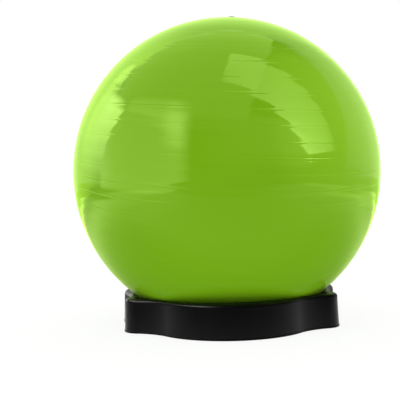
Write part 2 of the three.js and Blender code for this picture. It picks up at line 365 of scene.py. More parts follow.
@dataclass(frozen=True)
class GrainedFinish:
    """A finish with one grain, which shifts its colour a little and dents its skin."""

    name: str
    colour: str
    grain_colour: str
    ior: float
    roughness: float
    grain_mm: float
    grain_detail: float
    grain_strength: float
    grain_depth_mm: float

    def build(self) -> bpy.types.Material:
        """Makes the material.

        Returns:
            The finish, with its grain in its colour and in its surface.
        """
        material, tree = empty_material(self.name)
        place = add_node(tree, "ShaderNodeTexCoord").outputs["Object"]
        grain = add_node(tree, "ShaderNodeTexNoise", {
            "Scale": 1 / (self.grain_mm * MM), "Detail": self.grain_detail}, {"Vector": place})
        colour = add_node(tree, "ShaderNodeMix", {
            "data_type": "RGBA", MIX_A: linear(self.colour), MIX_B: linear(self.grain_colour)},
            {0: grain.outputs[0]})
        bump = add_node(tree, "ShaderNodeBump", {
            "Strength": self.grain_strength, "Distance": self.grain_depth_mm * MM},
            {"Height": grain.outputs[0]})
        shader = add_node(tree, "ShaderNodeBsdfPrincipled", {
            "IOR": self.ior, "Roughness": self.roughness},
            {"Base Color": colour.outputs[MIX_RESULT], "Normal": bump.outputs[0]})
        add_node(tree, "ShaderNodeOutputMaterial", {}, {"Surface": shader.outputs[0]})
        return material


@dataclass(frozen=True)
class PlugVinyl(GrainedFinish):
    """Stiffer PVC, injection-moulded: a greyish green button with a soft shine."""

    name: str = "moulded_vinyl_grey_green"
    colour: str = "#56603A"
    grain_colour: str = "#6A7350"
    ior: float = 1.5
    roughness: float = 0.35
    grain_mm: float = 0.8
    grain_detail: float = 2.0
    grain_strength: float = 0.3
    grain_depth_mm: float = 0.05


@dataclass(frozen=True)
class FootRubber(GrainedFinish):
    """Carbon-filled rubber, press-moulded: matt charcoal with a dusty bloom in patches."""

    name: str = "moulded_rubber_black"
    colour: str = "#0F0F10"
    grain_colour: str = "#1D1D1C"
    ior: float = 1.52
    roughness: float = 0.8
    grain_mm: float = 4.0
    grain_detail: float = 4.0
    grain_strength: float = 0.3
    grain_depth_mm: float = 0.1


@dataclass(frozen=True)
class RingPlastic:
    """Polypropylene, injection-moulded in a spark-eroded mould: black with a satin grain."""

    colour: str = "#050505"
    chalky_colour: str = "#08080A"
    ior: float = 1.49
    shine: float = 0.1
    smooth_roughness: float = 0.27
    dull_roughness: float = 0.37
    flow_mm: float = 60.0
    flow_detail: float = 3.0
    # The real grain is about 0.1 mm, too fine to show, so it is drawn a picture point wide
    grain_mm: float = 2.4
    grain_detail: float = 3.0
    grain_strength: float = 0.15
    grain_depth_mm: float = 0.1

    def build(self) -> bpy.types.Material:
        """Makes the material.

        Returns:
            The plastic, with flow patches in its gloss and a fine eroded grain.
        """
        material, tree = empty_material("moulded_polypropylene_black")
        place = add_node(tree, "ShaderNodeTexCoord").outputs["Object"]
        flow = add_node(tree, "ShaderNodeTexNoise", {
            "Scale": 1 / (self.flow_mm * MM), "Detail": self.flow_detail}, {"Vector": place})
        grain = add_node(tree, "ShaderNodeTexNoise", {
            "Scale": 1 / (self.grain_mm * MM), "Detail": self.grain_detail}, {"Vector": place})
        colour = add_node(tree, "ShaderNodeMix", {
            "data_type": "RGBA", MIX_A: linear(self.colour), MIX_B: linear(self.chalky_colour)},
            {0: flow.outputs[0]})
        roughness = add_node(tree, "ShaderNodeMapRange", {
            "From Min": NOISE_LOW, "From Max": NOISE_HIGH, "To Min": self.smooth_roughness,
            "To Max": self.dull_roughness}, {"Value": flow.outputs[0]})
        bump = add_node(tree, "ShaderNodeBump", {
            "Strength": self.grain_strength, "Distance": self.grain_depth_mm * MM},
            {"Height": grain.outputs[0]})
        # The eroded grain hides most of the shine seen head on, and leaves the shine at a glance
        shader = add_node(tree, "ShaderNodeBsdfPrincipled", {
            "IOR": self.ior, "Specular IOR Level": self.shine}, {
            "Base Color": colour.outputs[MIX_RESULT], "Roughness": roughness.outputs[0],
            "Normal": bump.outputs[0]})
        add_node(tree, "ShaderNodeOutputMaterial", {}, {"Surface": shader.outputs[0]})
        return material


# Ball

@dataclass
class InflatedBall:
    """The hollow ball with its moulded rings and valve boss, and the plug in the valve."""

    floor_squash: float = 5.0
    under_packed_top: float = 0.07
    wall: float = 1.2
    lean_right_deg: float = 3.5
    lean_forward_deg: float = 8.0
    ring_pitch: float = 28.1
    ring_half_width: float = 1.6
    ring_height: float = 0.14
    ring_shares: tuple[float, ...] = (-1.0, -0.66, -0.33, 0.0, 0.33, 0.66, 1.0)
    swelling: float = 0.25
    bore_radius: float = 4.0
    bore_round: float = 0.8
    boss_radius: float = 13.0
    boss_depth: float = 9.0
    boss_chamfer: float = 1.0
    foot_easing: float = 1.5
    foot_easing_reach: float = 9.0
    crisp_deg: float = 60.0
    meridians: int = 224
    cap_steps: int = 14
    swelling_steps: int = 12
    inside_steps: int = 60
    bore_round_steps: int = 4
    plug_gap: float = 0.3
    plug_stem_length: float = 17.0
    plug_taper: float = 0.9
    plug_tip_chamfer: float = 0.5
    plug_collar: float = 0.15
    plug_collar_height: float = 0.6
    plug_head_radius: float = 7.5
    plug_head_chamfer: float = 0.4
    plug_head_rim: float = 1.0
    plug_head_dome: float = 1.8
    plug_dimple: float = 0.5
    plug_dimple_radius_share: float = 0.14
    plug_dimple_edge_share: float = 0.93
    plug_dome_steps: int = 10
    plug_crisp_deg: float = 50.0
    radius: float = field(init=False)
    centre_height: float = field(init=False)

    def __post_init__(self) -> None:
        """Takes the ball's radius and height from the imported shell."""
        low, high = (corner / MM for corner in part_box("ball_shell"))
        nominal = round((high.x - low.x) / 2)
        self.centre_height = nominal - self.floor_squash
        self.radius = high.z - self.under_packed_top - self.centre_height

    def axis(self) -> Vector:
        """The ball's polar axis, as the ball happens to lie.

        Returns:
            Its direction, which leans a little to the right and to the front.
        """
        right = math.sin(math.radians(self.lean_right_deg))
        forward = math.sin(math.radians(self.lean_forward_deg))
        return Vector((right, -forward, math.sqrt(1 - right ** 2 - forward ** 2)))

    def placing(self) -> Matrix:
        """Stands the ball's own frame, with its axis along Z, in the scene."""
        turn = Vector((0, 0, 1)).rotation_difference(self.axis())
        return Matrix.Translation((0, 0, self.centre_height * MM)) @ turn.to_matrix().to_4x4()

    def outside(self) -> Profile:
        """The outer skin from the lower pole up to the valve.

        Returns:
            [radius, height] points, with each moulded ring as a low round ridge, and the skin
            between two rings swelled a little by the air inside.
        """
        last = math.floor((self.radius - self.boss_radius) / self.ring_pitch)
        mouth = self.bore_radius + self.bore_round
        cap = math.asin((last * self.ring_pitch + self.ring_half_width) / self.radius)
        rim = math.acos(mouth / self.radius)
        gap = self.ring_pitch - 2 * self.ring_half_width
        profile = [(0.0, -self.radius)]
        profile += arc((0, 0), self.radius, -math.pi / 2, -cap, self.cap_steps)[1:-1]
        for ring in range(-last, last + 1):
            height = ring * self.ring_pitch
            for share in self.ring_shares:
                proud = self.ring_height * math.cos(share * math.pi / 2) ** 2
                profile.append(self._on_skin(height + share * self.ring_half_width, proud))
            if ring < last:
                for i in range(1, self.swelling_steps):
                    share = i / self.swelling_steps
                    here = height + self.ring_half_width + gap * share
                    profile.append(self._on_skin(here, self.swelling * math.sin(math.pi * share)))
        profile += arc((0, 0), self.radius, cap, rim, self.cap_steps)[1:]
        lip_centre = (mouth, leg(self.radius, mouth) - self.bore_round)
        lip = arc(lip_centre, self.bore_round, math.pi / 2, math.pi, self.bore_round_steps)
        return profile + lip[1:]

    def _on_skin(self, height: float, proud: float) -> Pair:
        """A point of the skin at a height along the axis, some way proud of the sphere."""
        grown = (self.radius + proud) / self.radius
        return leg(self.radius, height) * grown, height * grown

    def inside(self) -> Profile:
        """The inner skin from the valve boss down to the lower pole.

        Returns:
            [radius, height] points.
        """
        inner = self.radius - self.wall
        bottom = self.radius - self.boss_depth
        boss = [(self.bore_radius, bottom), (self.boss_radius - self.boss_chamfer, bottom),
                (self.boss_radius, bottom + self.boss_chamfer)]
        start = math.acos(self.boss_radius / inner)
        return boss + arc((0, 0), inner, start, -math.pi / 2, self.inside_steps)

    def stand_on_floor(self, mesh: bmesh.types.BMesh) -> None:
        """Flattens the skin where the ball stands, with an eased edge round the flat.

        Args:
            mesh: The ball in its own frame, about its centre.
        """
        up = (self.placing().to_3x3().inverted() @ Vector((0, 0, 1))).normalized()
        for corner in mesh.verts:
            inside = corner.co.length < self.radius - self.wall / 2
            floor = (self.wall if inside else 0.0) - self.centre_height
            gap = corner.co.dot(up) - floor
            eased = (gap + math.sqrt(gap ** 2 + self.foot_easing ** 2)) / 2
            lifted = max(eased, 0.0) if gap < self.foot_easing_reach else gap
            corner.co += up * (lifted - gap)

    def shell(self) -> bpy.types.Object:
        """Makes the ball.

        Returns:
            The closed shell, open only at its valve.
        """
        mesh = turned(self.outside() + self.inside(), self.meridians)
        self.stand_on_floor(mesh)
        return finished_object("inflated_ball", mesh, self.crisp_deg, self.placing())

    def plug(self) -> bpy.types.Object:
        """Makes the push-in plug: a tapered stem and a domed head with a dimple.

        Returns:
            The plug.
        """
        stem = self.bore_radius - self.plug_gap
        tip = stem - self.plug_taper
        seat = self.radius + self.plug_gap
        foot = seat - self.plug_stem_length
        head = self.plug_head_radius
        crown = seat + self.plug_head_rim
        top = crown + self.plug_head_dome
        round_dome = arc((0, 0), head, 0, math.pi / 2, self.plug_dome_steps)[:-2]
        dome = [(r, crown + h * self.plug_head_dome / head) for r, h in round_dome]
        profile = [
            (0.0, foot),
            (tip - self.plug_tip_chamfer, foot),
            (tip, foot + self.plug_tip_chamfer),
            (stem - self.plug_collar, seat - self.plug_collar_height),
            (stem, seat),
            (head - self.plug_head_chamfer, seat),
            (head, seat + self.plug_head_chamfer),
            *dome,
            (head * self.plug_dimple_radius_share,
             crown + self.plug_head_dome * self.plug_dimple_edge_share),
            (0.0, top - self.plug_dimple),
        ]
        mesh = turned(profile, SMALL_ROUND_SEGMENTS)
        return finished_object("valve_button", mesh, self.plug_crisp_deg, self.placing())

    def build(self) -> bpy.types.Object:
        """Makes and dresses the ball and its plug.

        Returns:
            The ball.
        """
        shell = self.shell()
        dress(shell, BallVinyl().build(self.placing()), Body.BALL, Slot.BALL_VINYL, "ball_shell")
        dress(self.plug(), PlugVinyl().build(), Body.PLUG, Slot.PLUG_VINYL, "valve_plug")
        return shell


# Ring

@dataclass
class Arc:
    """One arc of the ring's plan outline, or of its section, where y is the height."""

    x: float
    y: float
    radius: float


@dataclass
class RingMoulding:
    """The three-eared ring: a thin shell, open underneath, with ribs, tubes and ear holes."""

    ball_centre_height: float
    seat_radius: float = 326.1
    height: float = 67.0
    lift: float = 1.0
    wall: float = 3.2
    wall_draft: float = 2.0
    edge_round: float = 6.5
    rim_round: float = 5.0
    lip_round: float = 4.0
    inner_corner: float = 0.8
    bead_height: float = 4.0
    bead_proud: float = 1.0
    bead_round: float = 0.7
    bead_corner_share: float = 0.3
    bead_shoulder_out_share: float = 0.75
    bead_shoulder_drop_share: float = 0.6
    bead_top_drop_share: float = 0.2
    seat_width: float = 51.0
    skirt_lift: float = 3.0
    ear_deck: float = 27.5
    bulge_deck: float = 25.0
    notch_deck: float = 0.9
    ear_radius: float = 36.0
    notch_radius: float = 115.0
    hole_radius: float = 8.25
    hole_round: float = 0.8
    tube_wall: float = 3.0
    rib_wall: float = 2.5
    rib_lift: float = 7.0
    foot_flange: float = 4.0
    foot_gap: float = 0.3
    foot_stub: float = 9.0
    foot_ease: float = 1.2
    foot_flange_ease: float = 0.5
    foot_groove_shares: tuple[float, ...] = (0.3, 0.55, 0.8)
    foot_groove_mouth: float = 0.7
    foot_groove_floor: float = 0.35
    foot_groove_depth: float = 0.5
    foot_crisp_deg: float = 40.0
    overrun: float = 1.0
    ears: int = 3
    ribs_per_sixth: int = 4
    ear_steps: int = 20
    notch_steps: int = 16
    bulge_steps: int = 22
    edge_steps: int = 10
    rim_steps: int = 6
    seat_steps: int = 16
    lip_steps: int = 4
    unseen_edge_steps: int = 4
    unseen_seat_steps: int = 10
    hole_steps: int = 5
    foot_steps: int = 4
    foot_flange_steps: int = 3
    tube_names: tuple[str, ...] = (
        "foot_ear_back", "foot_bulge_left", "foot_ear_left",
        "foot_bulge_front", "foot_ear_right", "foot_bulge_right")

    def sixth(self) -> float:
        """The angle between an ear and the next bulge."""
        return math.pi / self.ears

    def rim_rounding(self, depth: float) -> tuple[Arc, float]:
        """The rounding where the deck turns down into the seat.

        Args:
            depth: How far inside the moulding's face the section lies.

        Returns:
            The rounding, and the direction from the ball's centre to the rounding's.
        """
        radius = max(self.rim_round - depth, self.inner_corner)
        height = self.height - depth - radius
        drop = self.ball_centre_height - height
        out = leg(self.seat_radius + depth + radius, drop)
        return Arc(out, height, radius), math.atan2(-drop, out)

    def lip_rounding(self, depth: float) -> tuple[Arc, float]:
        """The rounding where the seat turns down into the inner skirt.

        Args:
            depth: How far inside the moulding's face the section lies.

        Returns:
            The rounding, and the direction from the ball's centre to the rounding's.
        """
        radius = max(self.lip_round - depth, self.inner_corner)
        out = self.skirt_radius() + depth + radius
        drop = leg(self.seat_radius + depth + radius, out)
        return Arc(out, self.ball_centre_height - drop, radius), math.atan2(-drop, out)

    def skirt_radius(self) -> float:
        """The inner skirt's face, from the middle of the ring."""
        return self.rim_rounding(0)[0].x - self.seat_width

    def inner_profile(self, depth: float, seat_steps: int, bottom: float) -> Profile:
        """Deck edge, seat and inner skirt, from the deck inwards and down.

        Args:
            depth: How far inside the moulding's face the section lies.
            seat_steps: Steps down the seat.
            bottom: The height at which the skirt ends.

        Returns:
            [radius, height] points.
        """
        rim, rim_turn = self.rim_rounding(depth)
        lip, lip_turn = self.lip_rounding(depth)
        centre = (0.0, self.ball_centre_height)
        seat = arc(centre, self.seat_radius + depth, rim_turn, lip_turn, seat_steps)
        return [
            *arc((rim.x, rim.y), rim.radius, math.pi / 2, rim_turn + math.pi, self.rim_steps),
            *seat[1:-1],
            *arc((lip.x, lip.y), lip.radius, lip_turn + math.pi, math.pi, self.lip_steps),
            (self.skirt_radius() + depth, bottom),
        ]

    def outer_profile(self, depth: float, bottom: float, steps: int) -> Profile:
        """Outer wall and its rounded top edge, from the bottom up to the deck.

        Args:
            depth: How far inside the moulding's face the section lies.
            bottom: The height at which the wall ends.
            steps: Steps round the top edge.

        Returns:
            [inset from the outline, height] points.
        """
        radius = max(self.edge_round - depth, self.inner_corner)
        inset = self.wall_draft + depth + radius
        edge = arc((0, self.height - depth - radius), radius, 0, math.pi / 2, steps)
        return [(depth, bottom), *((inset - out, height) for out, height in edge)]

    def bead_profile(self) -> Profile:
        """The bead round the foot of the outer wall, with its corners rounded.

        Returns:
            [inset from the outline, height] points, from the bottom up.
        """
        top = self.lift + self.bead_height
        proud, corner = self.bead_proud, self.bead_round
        cut = corner * self.bead_corner_share
        return [
            (corner - proud, self.lift),
            (cut - proud, self.lift + cut),
            (-proud, self.lift + corner),
            (-proud, top - proud - corner),
            (-proud * self.bead_shoulder_out_share, top - proud * self.bead_shoulder_drop_share),
            (0.0, top - proud * self.bead_top_drop_share),
        ]

    def reach(self, deck: float) -> float:
        """How far out the wall stands where the flat deck is this wide."""
        return self.rim_rounding(0)[0].x + deck + self.edge_round + self.wall_draft

    def outline_arcs(self) -> tuple[Arc, Arc, Arc]:
        """The plan outline from the tip of an ear to the middle of the next bulge.

        Returns:
            The ear, the notch and the bulge, which touch in turn, with the ear along +X.
        """
        sixth = self.sixth()
        ear = Arc(self.reach(self.ear_deck) - self.ear_radius, 0.0, self.ear_radius)
        from_middle = self.reach(self.notch_deck) + self.notch_radius
        from_ear = ear.radius + self.notch_radius
        notch_x = (from_middle ** 2 - from_ear ** 2 + ear.x ** 2) / (2 * ear.x)
        notch = Arc(notch_x, leg(from_middle, notch_x), self.notch_radius)
        reach = self.reach(self.bulge_deck)
        tip = (reach * math.cos(sixth), reach * math.sin(sixth))
        along = notch.x * math.cos(sixth) + notch.y * math.sin(sixth)
        gap = (tip[0] - notch.x) ** 2 + (tip[1] - notch.y) ** 2
        radius = (gap - notch.radius ** 2) / (2 * (notch.radius + reach - along))
        middle = reach - radius
        bulge = Arc(middle * math.cos(sixth), middle * math.sin(sixth), radius)
        return ear, notch, bulge

    def stations(self) -> list[tuple[Vector, Vector]]:
        """Places round the plan outline.

        Returns:
            Each place with the direction that faces outwards there.
        """
        ear, notch, bulge = self.outline_arcs()
        ear_turn = math.atan2(notch.y - ear.y, notch.x - ear.x)
        bulge_turn = math.atan2(notch.y - bulge.y, notch.x - bulge.x)
        runs = [
            (ear, 0.0, ear_turn, self.ear_steps, 1),
            (notch, ear_turn + math.pi, bulge_turn + math.pi, self.notch_steps, -1),
            (bulge, bulge_turn, self.sixth(), self.bulge_steps, 1),
        ]
        half = []
        for run, start, end, steps, side in runs:
            turns = [start + (end - start) * i / steps for i in range(steps)]
            half += [(Vector((run.x + run.radius * math.cos(t), run.y + run.radius * math.sin(t))),
                      Vector((math.cos(t), math.sin(t))) * side) for t in turns]
        tip = Vector((math.cos(self.sixth()), math.sin(self.sixth())))
        mirrored = [(Vector((p.x, -p.y)), Vector((n.x, -n.y))) for p, n in reversed(half[1:])]
        lobe = [*mirrored, *half, (tip * self.reach(self.bulge_deck), tip)]
        stations = []
        for i in range(self.ears):
            spin = Matrix.Rotation(math.pi / 2 + 2 * i * self.sixth(), 2)
            stations += [(spin @ place, spin @ outward) for place, outward in lobe]
        return stations

    def shell(self) -> bpy.types.Object:
        """The thin shell: its outside face, and back along its underside.

        Returns:
            The shell, without ribs, tubes or holes.
        """
        edge_steps, seat_steps = self.unseen_edge_steps, self.unseen_seat_steps
        top_outer = self.bead_profile() + self.outer_profile(0, self.lift, self.edge_steps)[1:]
        top_inner = self.inner_profile(0, self.seat_steps, self.skirt_lift)
        under_inner = self.inner_profile(self.wall, seat_steps, self.skirt_lift)[::-1]
        under_outer = self.outer_profile(self.wall, self.lift, edge_steps)[::-1]
        sections = [[*self._along(station, top_outer), *self._round(station, top_inner),
                     *self._round(station, under_inner), *self._along(station, under_outer)]
                    for station in self.stations()]
        return finished_object("ring_moulding", skinned(sections))

    @staticmethod
    def _along(station: tuple[Vector, Vector], profile: Profile) -> Section:
        """Points that keep their distance from the plan outline."""
        place, outward = station
        return [(*(place - outward * inset), height) for inset, height in profile]

    @staticmethod
    def _round(station: tuple[Vector, Vector], profile: Profile) -> Section:
        """Points that lie on circles round the middle of the ring."""
        inwards = station[0].normalized()
        return [(*(inwards * radius), height) for radius, height in profile]

    def hollow(self) -> bpy.types.Object:
        """The space under the deck, up to the middle of the shell's thickness.

        Returns:
            The space, which trims the ribs.
        """
        depth = self.wall / 2
        outer = self.outer_profile(depth, self.rib_lift, self.unseen_edge_steps)
        inner = self.inner_profile(depth, self.unseen_seat_steps, self.rib_lift)
        sections = [self._along(s, outer) + self._round(s, inner) for s in self.stations()]
        return finished_object("hollow_tool", skinned(sections))

    def ribs(self) -> bpy.types.Object:
        """Upright plates from the inner skirt outwards.

        Returns:
            One object that holds them all, as high as the ring.
        """
        start = self.skirt_radius()
        length = self.reach(max(self.ear_deck, self.bulge_deck)) - start
        size = Matrix.Diagonal((length, self.rib_wall, self.height, 1.0))
        middle = Matrix.Translation((start + length / 2, 0, self.height / 2))
        mesh = bmesh.new()
        for i in range(2 * self.ears * self.ribs_per_sixth):
            turn = math.pi / 2 + (i + 1 / 2) * self.sixth() / self.ribs_per_sixth
            plate = Matrix.Rotation(turn, 4, "Z") @ middle @ size
            bmesh.ops.create_cube(mesh, size=1.0, matrix=plate)
        return finished_object("rib_tool", mesh)

    def tube_places(self) -> list[Vector]:
        """Where the six tubes stand.

        Returns:
            Places under each ear and under each bulge, in turn, from the back ear on.
        """
        reach = self.rim_rounding(0)[0].x + self.hole_radius
        turns = [math.pi / 2 + i * self.sixth() for i in range(2 * self.ears)]
        return [Vector((reach * math.cos(t), reach * math.sin(t), 0)) for t in turns]

    def posts(self, name: str, profile: Profile, places: list[Vector]) -> bpy.types.Object:
        """Round solids of one profile at several places.

        Args:
            name: The object's name.
            profile: [radius, height] points from the axis back to the axis.
            places: Where each one stands.

        Returns:
            One object that holds them all.
        """
        mesh = bmesh.new()
        for place in places:
            one = turned(profile, SMALL_ROUND_SEGMENTS)
            bmesh.ops.translate(one, vec=place, verts=one.verts)
            data = bpy.data.meshes.new(name)
            one.to_mesh(data)
            one.free()
            mesh.from_mesh(data)
            bpy.data.meshes.remove(data)
        return finished_object(name, mesh)

    def moulding(self) -> bpy.types.Object:
        """Joins shell, ribs and tubes, and drills the bores and ear holes.

        Returns:
            The whole moulding.
        """
        ring = self.shell()
        ribs = self.ribs()
        combine(ribs, self.hollow(), Join.KEEP_COMMON)
        combine(ring, ribs, Join.ADD)
        places = self.tube_places()
        bottom = self.foot_flange + self.foot_gap
        tube, bore, flare = self.hole_radius + self.tube_wall, self.hole_radius, self.hole_round
        tube_top = self.height - self.wall / 2
        solid = [(0, bottom), (tube, bottom), (tube, tube_top), (0, tube_top)]
        combine(ring, self.posts("tube_tool", solid, places), Join.ADD)
        start, above = bottom - self.overrun, self.height + self.overrun
        under_deck = self.height - self.wall
        centre = (bore + flare, self.height - flare)
        rounding = arc(centre, flare, math.pi, math.pi / 2, self.hole_steps)
        through = [(0, start), (bore, start), *rounding, (bore + flare, above), (0, above)]
        blind = [(0, start), (bore, start), (bore, under_deck), (0, under_deck)]
        combine(ring, self.posts("hole_tool", through, places[::2]), Join.CUT)
        combine(ring, self.posts("bore_tool", blind, places[1::2]), Join.CUT)
        ring.data.shade_smooth()
        ring.data.set_sharp_from_angle(angle=math.radians(CRISP_DEG))
        return ring

    def foot(self, name: str, place: Vector) -> bpy.types.Object:
        """A rubber button: a grooved flange on the floor and a stub that plugs the tube.

        Args:
            name: The piece's name.
            place: Where it stands.

        Returns:
            The foot.
        """
        stub = self.hole_radius - self.foot_gap
        flange = stub + self.foot_gap + self.tube_wall
        ease, flange_ease = self.foot_ease, self.foot_flange_ease
        top = self.foot_flange + self.foot_stub
        mouth, floor, depth = self.foot_groove_mouth, self.foot_groove_floor, self.foot_groove_depth
        grooves = [(0.0, 0.0)]
        for share in self.foot_groove_shares:
            middle = flange * share
            grooves += [(middle - mouth, 0.0), (middle - floor, depth),
                        (middle + floor, depth), (middle + mouth, 0.0)]
        profile = [
            *grooves,
            *arc((flange - ease, ease), ease, -math.pi / 2, 0, self.foot_steps),
            *arc((flange - flange_ease, self.foot_flange - flange_ease), flange_ease, 0,
                 math.pi / 2, self.foot_flange_steps),
            (stub, self.foot_flange),
            (stub, top - ease),
            *arc((stub - ease, top - ease), ease, 0, math.pi / 2, self.foot_steps),
            (0.0, top),
        ]
        mesh = turned(profile, SMALL_ROUND_SEGMENTS)
        bmesh.ops.translate(mesh, vec=place, verts=mesh.verts)
        return finished_object(name, mesh, self.foot_crisp_deg)

    def build(self) -> bpy.types.Object:
        """Makes and dresses the moulding and its feet.

        Returns:
            The moulding.
        """
        ring = self.moulding()
        dress(ring, RingPlastic().build(), Body.RING, Slot.RING_PLASTIC, "base_ring")
        rubber = FootRubber().build()
        for name, place in zip(self.tube_names, self.tube_places()):
            piece = self.foot(name.replace("foot", "rubber_button"), place)
            dress(piece, rubber, Body.RING, Slot.FOOT_RUBBER, name)
        return ring


# Camera, light and floor

@dataclass
class Viewpoint:
    """The camera of the photograph, which looks level along +Y and is turned a little."""

    x: float = -57.37
    y: float = -1571.14
    z: float = 260.85
    roll_deg: float = -1.59
    focal_px: float = 727.20
    picture_px: float = 400.0
    sensor_mm: float = 36.0
    nearest: float = 10.0
    farthest: float = 100000.0

    def axes(self) -> tuple[Vector, Vector, Vector]:
        """The picture's right, up and away directions."""
        cos, sin = math.cos(math.radians(self.roll_deg)), math.sin(math.radians(self.roll_deg))
        return Vector((cos, 0, sin)), Vector((-sin, 0, cos)), Vector((0, 1, 0))

    def build(self) -> None:
        """Makes the camera and gives it to the scene."""
        data = bpy.data.cameras.new("photo_camera")
        data.sensor_width = self.sensor_mm
        data.lens = self.focal_px / self.picture_px * self.sensor_mm
        data.clip_start = self.nearest * MM
        data.clip_end = self.farthest * MM
        right, up, away = self.axes()
        camera = bpy.data.objects.new("photo_camera", data)
        bpy.context.scene.collection.objects.link(camera)
        turn = Matrix((right, up, -away)).transposed().to_4x4()
        place = Matrix.Translation(Vector((self.x, self.y, self.z)) * MM)
        camera.matrix_world = place @ turn
        bpy.context.scene.camera = camera


@dataclass(frozen=True)
class Sheet:
    """A glowing sheet that only reflections in the ball, or in the ring, show.

    Corners run from the bottom left, round by the bottom right, to the top left, and so do the
    radiances there. The fades are the shares of the sheet over which its left, right, bottom and
    top edges come up.
    """

    name: str
    corners: tuple[Place, Place, Place, Place]
    radiances: tuple[float, float, float, float]
    fades: tuple[float, float, float, float] = (0.0, 0.0, 0.0, 0.0)
    # The gloss of the green ball is tinged with its own colour
    tint: str = "#D9FF8C"
    for_ring: bool = False

    def place(self, across: float, up: float) -> Vector:
        """The point at a share of the way across and up."""
        low_left, low_right, top_right, top_left = (Vector(corner) for corner in self.corners)
        return low_left.lerp(low_right, across).lerp(top_left.lerp(top_right, across), up)

    def glow(self, across: float, up: float) -> float:
        """The radiance at a share of the way across and up.

        Args:
            across: The share from the left edge to the right.
            up: The share from the bottom edge to the top.

        Returns:
            The corners' radiances blended, and eased down to nothing at the faded edges.
        """
        low_left, low_right, top_right, top_left = self.radiances
        low = low_left + (low_right - low_left) * across
        top = top_left + (top_right - top_left) * across
        strength = low + (top - low) * up
        for inwards, fade in zip((across, 1 - across, up, 1 - up), self.fades):
            share = min(inwards / fade, 1.0) if fade else 1.0
            strength *= share * share * (3 - 2 * share)
        return strength


